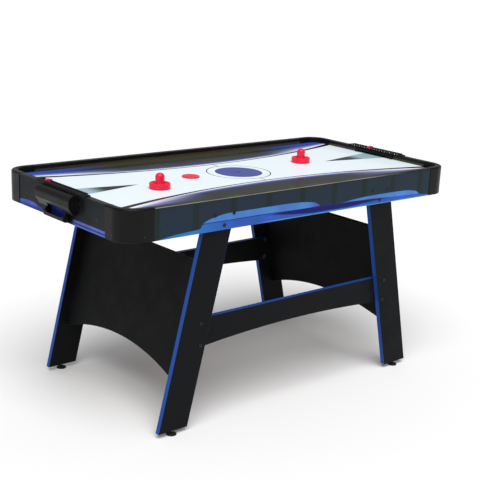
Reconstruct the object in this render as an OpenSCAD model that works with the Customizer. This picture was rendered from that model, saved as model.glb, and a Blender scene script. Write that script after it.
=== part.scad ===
// Air hockey table on four splayed board legs. Millimetres, +X along the length, +Z up.
// The origin is on the floor, under the middle of the table.

/* [Table] */
// Length of the table body, over its corner caps
table_l = 1524; // [1400:1:1650]
// Width of the table body, over its corner caps
table_w = 762; // [700:1:820]
// Height of the top rail above the floor
rail_z = 800; // [760:1:840]
// Height of the apron's lower edge above the floor
apron_z = 693; // [670:1:700]
// Thickness of the apron boards
apron_t = 12; // [10:0.5:14]
// How far the corner caps and rails stand proud of the aprons
cap_proud = 2; // [1.5:0.5:3]

/* [Rails and corners] */
// Outer radius of the rounded corners
corner_r = 75; // [65:1:90]
// Length of a corner cap's arm along each side
cap_arm = 110; // [95:1:125]
// Wall thickness of a corner cap
cap_wall = 5; // [3:0.5:6]
// Width of the top rail
rail_w = 24; // [22:0.5:28]
// Thickness of the top rail
rail_t = 4; // [3:0.5:5]
// Height of the inner lip under the top rail
lip_h = 8; // [5:0.5:10]
// Thickness of the inner lip
lip_t = 2; // [1.5:0.5:3]

/* [Playing field] */
// Depth of the playing field below the top rail
field_drop = 21; // [19:0.5:24]
// Thickness of the playing field board
field_t = 12; // [9:0.5:15]
// Width of each goal slot
goal_w = 180; // [150:1:200]
// Height of each goal slot through the bumper and apron
goal_h = 11; // [10:0.5:12]

/* [Legs] */
// Height of the cut ends of the legs above the floor
leg_foot_z = 16; // [14:0.5:24]
// Sideways distance from the middle to a leg's centre line, just under the apron
leg_top_x = 393; // [370:1:410]
// Height at which leg_top_x is measured
leg_ref_z = 685; // [660:1:700]
// Outward splay of a leg for each unit of height
leg_splay = 0.239; // [0.2:0.001:0.26]
// Width of a leg board, measured level
leg_w = 118; // [110:1:130]
// Thickness of the leg and stretcher boards
board_t = 18; // [15:0.5:20]
// Thickness of the coloured edge banding
band_t = 0.8; // [0.5:0.1:2]

/* [Stretchers and end panels] */
// Height of a stretcher's top edge
stretcher_z = 389; // [370:1:410]
// Depth of a stretcher at its ends
stretcher_end_h = 103; // [95:1:115]
// Rise of the arch under a stretcher
stretcher_rise = 20; // [10:1:30]
// Thickness of an end panel
panel_t = 15; // [12:0.5:18]
// Height of an end panel's top edge
panel_z = 582; // [560:1:600]
// Height of the middle of the arch under an end panel
panel_arch_z = 236; // [200:1:260]
// Rise of that arch along the panel
panel_rise = 66; // [40:1:80]

/* [Goal boxes] */
// How far a goal box stands out from the apron
box_d = 33; // [31:1:45]
// Length of a goal box's hood
hood_l = 214; // [200:1:230]
// Length of the puck tray under the hood
tray_l = 124; // [116:1:140]
// Wall thickness of the goal box mouldings
box_wall = 3; // [2.5:0.5:3.5]
// Width of the finger opening
finger_w = 92; // [80:1:100]

/* [Scoring] */
// Length of a score rail
score_l = 304; // [290:1:320]
// Height of a score rail
score_h = 7; // [7:0.5:9]
// Where the left score slider stands along its rail
left_score_y = 93; // [-120:1:120]
// Where the right score slider stands along its rail
right_score_y = 34; // [-120:1:120]

/* [Strikers and puck] */
// Radius of a striker's base
striker_r = 37; // [34:0.5:40]
// Height of a striker
striker_h = 54; // [50:1:58]
// Radius of the puck
puck_r = 32; // [28:0.5:34]
// Thickness of the puck
puck_t = 5; // [4:0.5:6]

/* [Hidden] */
$fn = 64;
cut = 1;               // how far a cutting shape runs past a face
gap = 0.3;             // clearance between pieces that move past each other

half_l = table_l / 2;
half_w = table_w / 2;
apron_out = cap_proud;                    // insets from the table's outline
apron_in = cap_proud + apron_t;
bumper_in = rail_w - lip_t;
apron_top = rail_z - rail_t;
field_z = rail_z - field_drop;
seam = 0.5;                               // gap between a rail and a corner cap
long_side = half_l - cap_arm - seam;      // half lengths of the straight sides
end_side = half_w - cap_arm - seam;

board_y = half_w - apron_in;              // outer face of the legs
inner_y = board_y - board_t;              // inner face of the legs
splay_angle = atan(leg_splay);
foot_x = leg_top_x + (leg_ref_z - leg_foot_z) * leg_splay;
foot_y = board_y - board_t / 2;
leg_top_z = field_z - field_t - gap;
function leg_x(z) = leg_top_x + (leg_ref_z - z) * leg_splay;

bolt_r = 3;
bolt_head_r = 6.5;
bolt_head_t = 2;
nut_r = 4;
nut_l = 10;
nut_flange_r = 9;
nut_flange_t = 1.5;
fit = 0.05;            // radial clearance of a running fit
hole_fit = 0.15;       // radial clearance of a bolt hole
apron_bolt_spots = [[411, 745], [333, 745], [372, 708]];
stretcher_bolt_spots = [[447, 378], [447, 300]];

block_arm = 180;
block_t = 18;
block_z = 700;
cap_screw_spot = [690, 310, 712];         // x on the long sides, y on the ends, and height
apron_screw_spot = [600, 222, 740];
screw_r = 1.8;
screw_head_r = 3.6;
screw_head_t = 1.3;
screw_l = 20;

batten_w = 18;
plenum_x = 700;
plenum_y = 335;
plenum_z = 737;
plenum_floor_t = 5;
batten_top = field_z - field_t - 0.2;
cross_batten_x = 240;

stem_r = 4;
stem_top = 40;
foot_disc_r = 18;
foot_disc_t = 6;
insert_r = 6;
insert_l = 15;

blower_r = 62;
blower_top = plenum_z - plenum_floor_t;
blower_z = 665;
blower_wall = 3;
blower_flange_r = 74;
blower_screw_r = 68;
air_hole_r = 48;
shaft_r = 2;
impeller_r = 52;
blade_count = 24;

inlet_x = 556;
switch_x = 520;
socket_z = 735;
rocker_tilt = 8;
rocker_y = half_w - 4.5;
rocker_pin_r = 1;

impeller_z = 674;
impeller_back_t = 2.5;
hub_r = 7;
hub_h = 12;
blade_l = 12;
blade_t = 1.6;
blade_turn = 35;
blade_top = 702;
motor_r = 21;
motor_z = [696, 718];
motor_arm = [8, 712, 716];                // width, and lower and upper height

inlet_flange = [15, 12];                  // half width and half height
inlet_body = [12.8, 9.8];
inlet_mouth = [10, 7];
inlet_depth = 28;
mouth_depth = 16;
switch_flange = [11.5, 8];
switch_body = [9.8, 6.3];
switch_mouth = [8, 4.6];
switch_depth = 20;
switch_recess = 9;
flange_t = 1.9;

hood_top = apron_top - 0.5;
hood_bend_r = 22;
hood_edge = [16, 731];                    // outer lower edge of the hood, from the apron's face
hood_widest_z = 757;                      // where the hood's face begins to slope back
hood_back_z = 731;
opening_top_z = 746;
tray_out = 27;
tray_bottom = [[0, 697], [18, 698], [27, 703]];
lip_top_z = 714;
tab_l = 34;                               // screw tab at each end of a hood
tab_t = 2.5;
tab_z = [745, 790];
tab_screw = [122, 772];                   // sideways place and height of the tab's screw
frame_l = goal_w + 28;
frame_t = 5;
tunnel_wall = 2.5;

slider_l = 12;
slider_half = 9;
slider_over = 3;
flap_z = 803.5;
channel_w = 10;
channel_l = score_l - 40;
channel_h = 5;
score_step = 16;

left_striker_at = [-423, -87];
right_striker_at = [348, 33];
puck_at = [-215, 12];
felt_t = 1.5;
felt_r = striker_r - 2.5;
grip_r = 16;
rim_h = 18.5;
grip_dome = 13;

panel_set = 12.5;                         // end panel's middle, outwards from the legs' centre lines
bracket_z = [235, 520];
bracket_leaf = 26;
bracket_h = 30;
bracket_t = 1.6;

// ---- helpers ----

// The table's outline in plan, moved inwards by a distance
module outline(inset) {
    r = corner_r - inset;
    square([table_l - 2 * corner_r, table_w - 2 * inset], center = true);
    square([table_l - 2 * inset, table_w - 2 * corner_r], center = true);
    for (x = [-1, 1], y = [-1, 1])
        translate([x * (half_l - corner_r), y * (half_w - corner_r)]) circle(r);
}

// A band of the outline between two insets, kept to one corner
module corner_band(outer, inner, arm, sx, sy) {
    intersection() {
        difference() {
            outline(outer);
            outline(inner);
        }
        translate([sx * (half_l - arm / 2 + cut), sy * (half_w - arm / 2 + cut)])
            square(arm + 2 * cut, center = true);
    }
}

// A box between two corners
module block(lo, hi) {
    translate(lo) cube(hi - lo);
}

// A shape drawn in X and Z, given a thickness from y0 to y1
module slab_xz(y0, y1) {
    translate([0, y1, 0]) rotate([90, 0, 0]) linear_extrude(y1 - y0) children();
}

// A cylinder along Y from y0 to y1
module rod_y(x, z, r, y0, y1) {
    translate([x, y1, z]) rotate([90, 0, 0]) cylinder(h = y1 - y0, r = r);
}

// A cylinder along X from x0 to x1
module rod_x(y, z, r, x0, x1) {
    translate([x0, y, z]) rotate([0, 90, 0]) cylinder(h = x1 - x0, r = r);
}

// The children, and a copy on the other long side or the other end
module both_sides() {
    children();
    mirror([0, 1, 0]) children();
}
module both_ends() {
    children();
    mirror([1, 0, 0]) children();
}

// ---- table body ----

module long_apron() {
    y_out = half_w - apron_out;
    difference() {
        block([-long_side, -y_out, apron_z], [long_side, -board_y, apron_top]);
        for (s = [-1, 1], p = apron_bolt_spots)
            rod_y(s * p[0], p[1], bolt_r + hole_fit, -y_out - cut, -board_y + cut);
        for (s = [-1, 1])
            screw_hole_y(s * apron_screw_spot[0], apron_screw_spot[2], -y_out);
    }
}

module screw_hole_y(x, z, face) {
    rod_y(x, z, screw_head_r + hole_fit, face - cut, face + screw_head_t);
    rod_y(x, z, screw_r + hole_fit, face, face + screw_l);
}

module front_apron() {
    color("#2b3547") long_apron();
}

module back_apron() {
    y_in = board_y - cut;
    y_out = half_w + cut;
    color("#2b3547") difference() {
        mirror([0, 1, 0]) long_apron();
        socket_block(inlet_x, inlet_body + [0.2, 0.2], y_in, y_out);
        socket_block(switch_x, switch_body + [0.2, 0.2], y_in, y_out);
    }
}

module end_apron() {
    x_out = half_l - apron_out;
    x_in = half_l - apron_in;
    color("#1a2026") difference() {
        block([x_in, -end_side, apron_z], [x_out, end_side, apron_top]);
        block([x_in - cut, -goal_w / 2, field_z], [x_out + cut, goal_w / 2, field_z + goal_h]);
        for (s = [-1, 1]) translate([0, s * apron_screw_spot[1], apron_screw_spot[2]]) {
            rod_x(0, 0, screw_head_r + hole_fit, x_out - screw_head_t, x_out + cut);
            rod_x(0, 0, screw_r + hole_fit, x_in - cut, x_out);
        }
        for (s = [-1, 1])
            rod_x(s * tab_screw[0], tab_screw[1], screw_r + hole_fit, x_in - cut, x_out + cut);
    }
}

module corner_cap(sx, sy) {
    x = cap_screw_spot[0];
    y = cap_screw_spot[1];
    z = cap_screw_spot[2];
    color("#1f1f20") difference() {
        union() {
            translate([0, 0, apron_z]) linear_extrude(rail_z - apron_z)
                corner_band(0, cap_wall, cap_arm, sx, sy);
            translate([0, 0, field_z]) linear_extrude(field_drop)
                corner_band(0, rail_w, cap_arm, sx, sy);
        }
        mirror([sx < 0 ? 1 : 0, 0, 0]) mirror([0, sy < 0 ? 1 : 0, 0]) {
            rod_y(x, z, screw_head_r + hole_fit, half_w - screw_head_t, half_w + cut);
            rod_y(x, z, screw_r + hole_fit, half_w - 2 * cap_wall, half_w);
            rod_x(y, z, screw_head_r + hole_fit, half_l - screw_head_t, half_l + cut);
            rod_x(y, z, screw_r + hole_fit, half_l - 2 * cap_wall, half_l);
        }
    }
}

// Section of the top rail: a flat strip with a lip down its inner edge
module rail_section() {
    soft = 1.5;
    polygon([[0, 0], [0, rail_t - soft], [soft, rail_t], [rail_w - soft, rail_t],
        [rail_w, rail_t - soft], [rail_w, -lip_h], [rail_w - lip_t, -lip_h], [rail_w - lip_t, 0]]);
}

module long_rail() {
    color("#1b1b1d") translate([long_side, -half_w, apron_top])
        rotate([90, 0, -90]) linear_extrude(2 * long_side) mirror([1, 0]) rail_section();
}

module end_rail() {
    color("#1b1b1d") difference() {
        translate([half_l, end_side, apron_top])
            rotate([90, 0, 0]) linear_extrude(2 * end_side) mirror([1, 0]) rail_section();
        block([0, -frame_l / 2 - gap, 0], [half_l - bumper_in, frame_l / 2 + gap, apron_top]);
    }
}

module long_bumper() {
    color("#5d5743")
        block([-long_side, -board_y, field_z], [long_side, -half_w + bumper_in, apron_top]);
}

module end_bumper() {
    x_in = half_l - bumper_in;
    x_out = half_l - apron_in;
    color("#5d5743") difference() {
        block([x_in, -end_side, field_z], [x_out, end_side, apron_top]);
        block([x_in - cut, -goal_w / 2, field_z - cut], [x_out + cut, goal_w / 2, field_z + goal_h]);
    }
}

module corner_blocks() {
    x = cap_screw_spot[0];
    y = cap_screw_spot[1];
    reach = half_l - apron_in - block_t - cut;
    color("#c9a777") difference() {
        translate([0, 0, block_z]) linear_extrude(leg_top_z - block_z)
            for (sx = [-1, 1], sy = [-1, 1])
                corner_band(apron_in, apron_in + block_t, block_arm, sx, sy);
        for (sx = [-1, 1], sy = [-1, 1]) {
            for (p = [[x, cap_screw_spot[2]], [apron_screw_spot[0], apron_screw_spot[2]]])
                rod_y(sx * p[0], p[1], screw_r + fit, sy > 0 ? inner_y : -half_w, sy > 0 ? half_w : -inner_y);
            for (p = [[y, cap_screw_spot[2]], [apron_screw_spot[1], apron_screw_spot[2]]])
                rod_x(sy * p[0], p[1], screw_r + fit, sx > 0 ? reach : -half_l, sx > 0 ? half_l : -reach);
        }
    }
}

module playing_field() {
    color("#e4f0f8") translate([0, 0, field_z - field_t])
        linear_extrude(field_t) outline(apron_in);
}

module plenum_battens() {
    inner = plenum_x - batten_w - 0.2;
    edge = plenum_y - batten_w - 0.2;
    color("#c9a777") {
        both_sides() block([-plenum_x, -plenum_y, plenum_z], [plenum_x, batten_w - plenum_y, batten_top]);
        both_ends() block([plenum_x - batten_w, -edge, plenum_z], [plenum_x, edge, batten_top]);
        both_ends() for (s = [-1, 1])
            block([cross_batten_x, s > 0 ? 60 : -edge, plenum_z],
                [cross_batten_x + batten_w, s > 0 ? edge : -60, batten_top]);
    }
}

module plenum_floor() {
    color("#8a6238") difference() {
        block([-plenum_x, -plenum_y, blower_top], [plenum_x, plenum_y, plenum_z - 0.1]);
        translate([0, 0, blower_top - cut]) cylinder(h = plenum_floor_t + 2 * cut, r = air_hole_r);
        for (a = [45:90:315]) rotate(a) translate([blower_screw_r, 0, blower_top - cut])
            cylinder(h = plenum_floor_t + 2 * cut, r = screw_r + fit);
    }
}

// ---- legs and bracing ----

// Outline of a leg between two sideways offsets from its centre line
module leg_outline(left, right) {
    polygon([[leg_x(leg_foot_z) + left, leg_foot_z], [leg_x(leg_foot_z) + right, leg_foot_z],
        [leg_x(leg_top_z) + right, leg_top_z], [leg_x(leg_top_z) + left, leg_top_z]]);
}

module leg() {
    half = leg_w / 2 - band_t;
    color("#1c1c1a") difference() {
        slab_xz(inner_y, board_y) leg_outline(-half, half);
        for (p = apron_bolt_spots) nut_hole(p);
        for (p = stretcher_bolt_spots)
            rod_y(p[0], p[1], bolt_r + hole_fit, inner_y - cut, board_y + cut);
        translate([foot_x, foot_y, leg_foot_z - cut]) {
            cylinder(h = stem_top - leg_foot_z + 8, r = stem_r + 0.6);
            cylinder(h = insert_l + cut, r = insert_r + 0.1);
        }
    }
}

module nut_hole(p) {
    rod_y(p[0], p[1], bolt_r + hole_fit, inner_y - cut, board_y + cut);
    rod_y(p[0], p[1], nut_r + hole_fit, inner_y - cut, inner_y + nut_l + 0.2);
}

module edge_banding() {
    half = leg_w / 2;
    color("#3f6db8") {
        both_sides() both_ends() for (s = [-1, 1])
            slab_xz(inner_y, board_y)
                leg_outline(s * half - (s > 0 ? band_t : 0), s * half + (s > 0 ? 0 : band_t));
        both_sides() slab_xz(inner_y - board_t, inner_y) stretcher_outline(stretcher_z - band_t, stretcher_z);
    }
}

// A stretcher's outline between two heights, its ends cut to the splay of the legs
module stretcher_outline(z0, z1) {
    reach = 3;
    polygon([[-leg_x(z0) - reach, z0], [leg_x(z0) + reach, z0],
        [leg_x(z1) + reach, z1], [-leg_x(z1) - reach, z1]]);
}

module stretcher() {
    z0 = stretcher_z - stretcher_end_h;
    span = leg_x(z0) - leg_w / 2;
    arch_r = (span * span + stretcher_rise * stretcher_rise) / (2 * stretcher_rise);
    color("#1c1c1a") difference() {
        slab_xz(inner_y - board_t, inner_y) difference() {
            stretcher_outline(z0, stretcher_z - band_t);
            translate([0, z0 + stretcher_rise - arch_r]) circle(arch_r, $fn = 900);
        }
        for (s = [-1, 1], p = stretcher_bolt_spots) {
            rod_y(s * p[0], p[1], bolt_r + hole_fit, inner_y - board_t - cut, inner_y + cut);
            rod_y(s * p[0], p[1], nut_r + hole_fit, inner_y - board_t - cut, inner_y - board_t + nut_l + 0.2);
        }
    }
}

module end_panel() {
    half = inner_y - gap;
    mid_s = (panel_z - panel_arch_z) / cos(splay_angle);
    arch_r = (half * half + panel_rise * panel_rise) / (2 * panel_rise);
    color("#17191c") translate([leg_x(panel_z) + panel_set, 0, panel_z]) rotate([0, -splay_angle, 0])
        translate([-panel_t / 2, 0, 0]) rotate([90, 0, 90]) linear_extrude(panel_t) difference() {
            translate([-half, -mid_s - panel_rise]) square([2 * half, mid_s + panel_rise]);
            translate([0, -mid_s - arch_r]) circle(arch_r, $fn = 360);
        }
}

// Steel angles that hold an end panel to the inner faces of its legs
module panel_brackets() {
    root = -bracket_t - 1;
    color("#232326") both_sides() both_ends() for (z = bracket_z)
        translate([leg_x(z) + panel_set - panel_t / 2 - 0.4, inner_y, z]) rotate([0, -splay_angle, 0]) {
            block([-bracket_leaf, -bracket_t - 0.1, 0], [-1, -0.1, bracket_h]);
            block([root, -bracket_leaf, 0], [-1, -0.1, bracket_h]);
        }
}

// ---- goal boxes ----

// Profile of the hood: flat at the top, one round bend, then a face that slopes back in
module hood_profile(wall) {
    bend = hood_bend_r - wall;
    middle = [box_d - hood_bend_r, hood_top - hood_bend_r];
    steps = 12;
    back = wall > 0 ? -cut : 0;
    polygon(concat([[back, hood_back_z + wall], [back, hood_top - wall]],
        [for (i = [0:steps]) middle + bend * [sin(90 * i / steps), cos(90 * i / steps)]],
        [[box_d - wall, hood_widest_z], [hood_edge[0] - wall / 2, hood_edge[1] + wall]]));
}

// Profile of the tray: a shallow scoop with an upright lip, open to the hood above
module tray_profile(wall) {
    back = wall > 0 ? -cut : 0;
    top = hood_edge[1] - 1 + 2 * wall;
    polygon([[back, tray_bottom[0][1] + wall], tray_bottom[1] + [-wall / 2, wall],
        tray_bottom[2] + [-wall, wall / 2], [tray_out - wall, lip_top_z + 2 * wall],
        [hood_edge[0] - wall, top], [back, top]]);
}

module goal_hood() {
    spread = hood_l / 2;
    color("#1d1d1b") translate([half_l - apron_out, 0, 0]) difference() {
        union() {
            slab_xz(-spread, spread) hood_profile(0);
            for (s = [-1, 1]) block([0, s > 0 ? spread - cut : -spread - tab_l, tab_z[0]],
                [tab_t, s > 0 ? spread + tab_l : cut - spread, tab_z[1]]);
        }
        slab_xz(box_wall - spread, spread - box_wall) hood_profile(box_wall);
        block([-cut, box_wall - tray_l / 2, 700], [hood_edge[0] - box_wall, tray_l / 2 - box_wall, 740]);
        block([hood_edge[0] - box_wall - cut, -finger_w / 2, 700],
            [box_d + cut, finger_w / 2, opening_top_z]);
        for (s = [-1, 1])
            rod_x(s * tab_screw[0], tab_screw[1], screw_r + hole_fit, -cut, tab_t + cut);
    }
}

module puck_tray() {
    spread = tray_l / 2;
    color("#1d1d1b") translate([half_l - apron_out, 0, 0]) difference() {
        slab_xz(-spread, spread) tray_profile(0);
        slab_xz(box_wall - spread, spread - box_wall) tray_profile(box_wall);
        block([hood_edge[0] - box_wall - cut, -finger_w / 2, lip_top_z], [box_d + cut, finger_w / 2, 755]);
    }
}

// Moulded frame round the goal mouth, with a tunnel through the bumper and the apron
module goal_frame() {
    x_face = half_l - rail_w;
    x_out = half_l - apron_out;
    slot = goal_w / 2 - 0.5;
    top = field_z + goal_h - 0.3;
    color("#161617") difference() {
        union() {
            block([x_face - frame_t, -frame_l / 2, field_z + 0.1], [x_face + lip_t, frame_l / 2, apron_top]);
            block([x_face, -slot, field_z + 0.1], [x_out, slot, top]);
        }
        block([x_face - frame_t - cut, tunnel_wall - slot, field_z - cut],
            [x_out + cut, slot - tunnel_wall, top - tunnel_wall]);
    }
}

// ---- scoring ----

module score_rail() {
    x0 = half_l - rail_w;
    mid = half_l - rail_w / 2;
    inner = score_l / 2 - score_step;
    color("#19191a") difference() {
        union() {
            block([x0, -inner, rail_z], [half_l, inner, rail_z + score_h]);
            block([x0, -score_l / 2, rail_z], [half_l, score_l / 2, rail_z + score_h / 2]);
        }
        block([mid - channel_w / 2, -channel_l / 2, rail_z + score_h - channel_h],
            [mid + channel_w / 2, channel_l / 2, rail_z + score_h + cut]);
    }
}

// A slider that runs in the channel, with a flap down the field side of the score rail
module score_slider(y) {
    mid = half_l - rail_w / 2;
    top = rail_z + score_h;
    edge = rail_w / 2 + gap;
    color("#e02838") translate([mid, y, 0]) {
        block([gap - channel_w / 2, -slider_l / 2, top - channel_h + gap],
            [channel_w / 2 - gap, slider_l / 2, top + gap]);
        block([-edge - 2, -slider_l / 2, top + gap], [slider_half, slider_l / 2, top + slider_over]);
        block([-edge - 2, -slider_l / 2, flap_z], [-edge, slider_l / 2, top + slider_over]);
        slab_xz(-slider_l / 2, slider_l / 2)
            polygon([[-slider_half, top + slider_over], [slider_half, top + slider_over],
                [slider_half - 4, top + slider_over + 2], [4 - slider_half, top + slider_over + 2]]);
    }
}

// ---- feet ----

module levelling_foot() {
    color("#161616") translate([foot_x, foot_y, 0]) {
        rotate_extrude() polygon([[0, 0], [foot_disc_r - 1, 0], [foot_disc_r, 1.5], [foot_disc_r - 1, 4.5],
            [8, foot_disc_t], [0, foot_disc_t]]);
        cylinder(h = stem_top, r = stem_r);
    }
}

module foot_inserts() {
    color("#a9adb0") both_sides() both_ends() translate([foot_x, foot_y, leg_foot_z]) difference() {
        union() {
            cylinder(h = insert_l, r = insert_r);
            translate([0, 0, -1.5]) cylinder(h = 1.5, r = 8.5);
        }
        translate([0, 0, -2 - cut]) cylinder(h = insert_l + 2 + 2 * cut, r = stem_r + fit);
    }
}

// ---- blower and mains parts ----

module blower_housing() {
    inner = blower_r - blower_wall;
    color("#202225") difference() {
        union() {
            translate([0, 0, blower_z]) cylinder(h = blower_top - blower_z, r = blower_r);
            translate([0, 0, blower_top - blower_wall]) cylinder(h = blower_wall, r = blower_flange_r);
        }
        translate([0, 0, blower_z + blower_wall]) cylinder(h = 100, r = inner);
        for (ring = [16, 26, 36], a = [0:60:300]) rotate(a + ring)
            translate([0, 0, blower_z - cut]) grille_slot(ring);
        for (a = [45:90:315]) rotate(a) translate([blower_screw_r, 0, blower_top - blower_wall - cut])
            cylinder(h = 2 * blower_wall, r = screw_r + fit);
    }
}

// One curved slot of the intake grille
module grille_slot(r) {
    rotate_extrude(angle = 44) translate([r - 3, 0]) square([6, blower_wall + 2 * cut]);
}

module blower_motor() {
    arm_r = blower_r - blower_wall - 0.2;
    color("#b4b7ba") {
        translate([0, 0, motor_z[0]]) cylinder(h = motor_z[1] - motor_z[0], r = motor_r);
        translate([0, 0, impeller_z + 2]) cylinder(h = motor_z[0] - impeller_z - cut, r = shaft_r);
        for (a = [0:120:240]) rotate(a)
            block([motor_r - 3, -motor_arm[0] / 2, motor_arm[1]], [arm_r, motor_arm[0] / 2, motor_arm[2]]);
    }
}

module blower_impeller() {
    color("#3a3d40") difference() {
        union() {
            translate([0, 0, impeller_z]) cylinder(h = impeller_back_t, r = impeller_r);
            translate([0, 0, impeller_z]) cylinder(h = hub_h, r = hub_r);
            for (i = [0:blade_count - 1]) rotate(i * 360 / blade_count)
                translate([impeller_r - blade_l / 2, 0, 0]) rotate(blade_turn)
                    block([-blade_l / 2, -blade_t / 2, impeller_z + 2],
                        [blade_l / 2, blade_t / 2, blade_top]);
        }
        translate([0, 0, impeller_z - cut]) cylinder(h = hub_h + 2 * cut, r = shaft_r + fit);
    }
}

module power_inlet() {
    face = half_w - apron_out;
    color("#1a1a1b") difference() {
        union() {
            socket_block(inlet_x, inlet_flange, face, face + flange_t);
            socket_block(inlet_x, inlet_body, face - inlet_depth, face);
        }
        socket_block(inlet_x, inlet_mouth, face - mouth_depth, face + flange_t + cut);
    }
    color("#c8b070") for (x = [-5, 5])
        rod_y(inlet_x + x, socket_z, 1.2, face - mouth_depth - cut, face - 4);
}

// A block round the socket height on the back apron, from y0 to y1
module socket_block(x, half, y0, y1) {
    block([x - half[0], y0, socket_z - half[1]], [x + half[0], y1, socket_z + half[1]]);
}

module switch_housing() {
    face = half_w - apron_out;
    color("#1a1a1b") difference() {
        union() {
            socket_block(switch_x, switch_flange, face, face + flange_t);
            socket_block(switch_x, switch_body, face - switch_depth, face);
        }
        socket_block(switch_x, switch_mouth, face - switch_recess, face + flange_t + cut);
        translate([switch_x, rocker_y, socket_z - 5.8]) cylinder(h = 11.6, r = rocker_pin_r + fit);
    }
}

module rocker() {
    color("#2a2a2c") translate([switch_x, rocker_y, socket_z]) rotate(-rocker_tilt) {
        translate([0, 0, -4.2]) linear_extrude(8.4)
            polygon([[-7, 3.1], [0, 2], [7, 3.1], [7, 0], [2, -3], [-2, -3], [-7, 0]]);
        translate([0, 0, -5.5]) cylinder(h = 11, r = rocker_pin_r);
    }
}

// ---- fasteners ----

// A bolt with a flat round head and a hexagon socket, its head's face at y = 0
module flat_bolt(length) {
    difference() {
        union() {
            rod_y(0, 0, bolt_head_r, -bolt_head_t, 0);
            rod_y(0, 0, bolt_r, -length - bolt_head_t, -bolt_head_t);
        }
        translate([0, cut, 0]) rotate([90, 0, 0]) cylinder(h = 1.4 + cut, r = 2.3, $fn = 6);
    }
}

module apron_bolts() {
    color("#2c2c2e") both_sides() both_ends() for (p = apron_bolt_spots)
        translate([p[0], half_w - apron_out + bolt_head_t, p[1]]) flat_bolt(apron_t + board_t - 1);
}

module stretcher_bolts() {
    color("#2c2c2e") both_sides() both_ends() for (p = stretcher_bolt_spots)
        translate([p[0], board_y + bolt_head_t, p[1]]) flat_bolt(2 * board_t - 1);
}

module tee_nut(x, y, z) {
    difference() {
        union() {
            rod_y(x, z, nut_r, y, y + nut_l);
            rod_y(x, z, nut_flange_r, y - nut_flange_t, y);
        }
        rod_y(x, z, bolt_r + fit, y - nut_flange_t - cut, y + nut_l + cut);
    }
}

module tee_nuts() {
    color("#a9adb0") both_sides() both_ends() {
        for (p = apron_bolt_spots) tee_nut(p[0], inner_y, p[1]);
        for (p = stretcher_bolt_spots) tee_nut(p[0], inner_y - board_t, p[1]);
    }
}

// A small wood screw pointing along -Z, its head's face at the origin
module wood_screw(length) {
    difference() {
        union() {
            translate([0, 0, -screw_head_t + 0.1]) cylinder(h = screw_head_t - 0.1, r = screw_head_r);
            translate([0, 0, -length]) cylinder(h = length - 0.5, r = screw_r);
        }
        for (a = [0, 90]) rotate(a) block([-2, -0.45, -0.8], [2, 0.45, cut]);
    }
}

module frame_screws() {
    cap = cap_screw_spot;
    board = apron_screw_spot;
    color("#3a3a3c") {
        both_sides() both_ends() {
            translate([cap[0], half_w, cap[2]]) rotate([-90, 0, 0]) wood_screw(26);
            translate([half_l, cap[1], cap[2]]) rotate([0, 90, 0]) wood_screw(26);
            translate([board[0], half_w - apron_out, board[2]]) rotate([-90, 0, 0]) wood_screw(screw_l + 4);
            translate([half_l - apron_out, board[1], board[2]]) rotate([0, 90, 0]) wood_screw(screw_l + 4);
            translate([half_l - apron_out + tab_t + screw_head_t, tab_screw[0], tab_screw[1]])
                rotate([0, 90, 0]) wood_screw(apron_t + 2);
        }
        for (a = [45:90:315]) rotate(a)
            translate([blower_screw_r, 0, blower_top - blower_wall - screw_head_t]) rotate([180, 0, 0])
                wood_screw(9);
    }
}

// ---- strikers and puck ----

module striker(at) {
    base = field_z + gap + felt_t;
    top = striker_h - felt_t;
    color("#f02848") translate([at[0], at[1], base]) rotate_extrude() difference() {
        polygon(concat([[0, 0], [striker_r - 1, 0], [striker_r, 1]],
            arc_points(striker_r - 2.5, rim_h - 2.5, 2.5, 0, 90),
            arc_points(striker_r - 5.5, rim_h - 2, 2, 90, 160),
            [[grip_r + 5, 8], [grip_r + 1, 9.5], [grip_r, 13]],
            arc_points(grip_r - grip_dome, top - grip_dome, grip_dome, 0, 90), [[0, top]]));
        translate([-5, -cut]) square([5, striker_h + 2 * cut]);
    }
}

// Points along an arc about (cx, cy), from one angle to another
function arc_points(cx, cy, r, from, to, steps = 8) =
    [for (i = [0:steps]) [cx + r * cos(from + (to - from) * i / steps),
        cy + r * sin(from + (to - from) * i / steps)]];

module striker_felt(at) {
    color("#25272b") translate([at[0], at[1], field_z + gap]) cylinder(h = felt_t, r = felt_r);
}

module puck() {
    soft = 0.8;
    color("#e02838") translate([puck_at[0], puck_at[1], field_z + gap]) rotate_extrude()
        polygon([[0, 0], [puck_r - soft, 0], [puck_r, soft], [puck_r, puck_t - soft], [puck_r - soft, puck_t],
            [puck_r - 4, puck_t], [puck_r - 5, puck_t - 0.6], [0, puck_t - 0.6]]);
}

front_apron();
back_apron();
mirror([1, 0, 0]) end_apron();  // left_end_apron
end_apron();  // right_end_apron
corner_cap(-1, -1);  // front_left_corner_cap
corner_cap(1, -1);  // front_right_corner_cap
corner_cap(-1, 1);  // back_left_corner_cap
corner_cap(1, 1);  // back_right_corner_cap
long_rail();  // front_top_rail
mirror([0, 1, 0]) long_rail();  // back_top_rail
mirror([1, 0, 0]) end_rail();  // left_top_rail
end_rail();  // right_top_rail
long_bumper();  // front_bumper
mirror([0, 1, 0]) long_bumper();  // back_bumper
mirror([1, 0, 0]) end_bumper();  // left_bumper
end_bumper();  // right_bumper
corner_blocks();
playing_field();
plenum_battens();
plenum_floor();
mirror([1, 0, 0]) mirror([0, 1, 0]) leg();  // front_left_leg
mirror([0, 1, 0]) leg();  // front_right_leg
mirror([1, 0, 0]) leg();  // back_left_leg
leg();  // back_right_leg
edge_banding();
mirror([1, 0, 0]) end_panel();  // left_end_panel
end_panel();  // right_end_panel
mirror([0, 1, 0]) stretcher();  // front_stretcher
stretcher();  // back_stretcher
panel_brackets();
mirror([1, 0, 0]) goal_hood();  // left_goal_hood
goal_hood();  // right_goal_hood
mirror([1, 0, 0]) puck_tray();  // left_puck_tray
puck_tray();  // right_puck_tray
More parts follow.
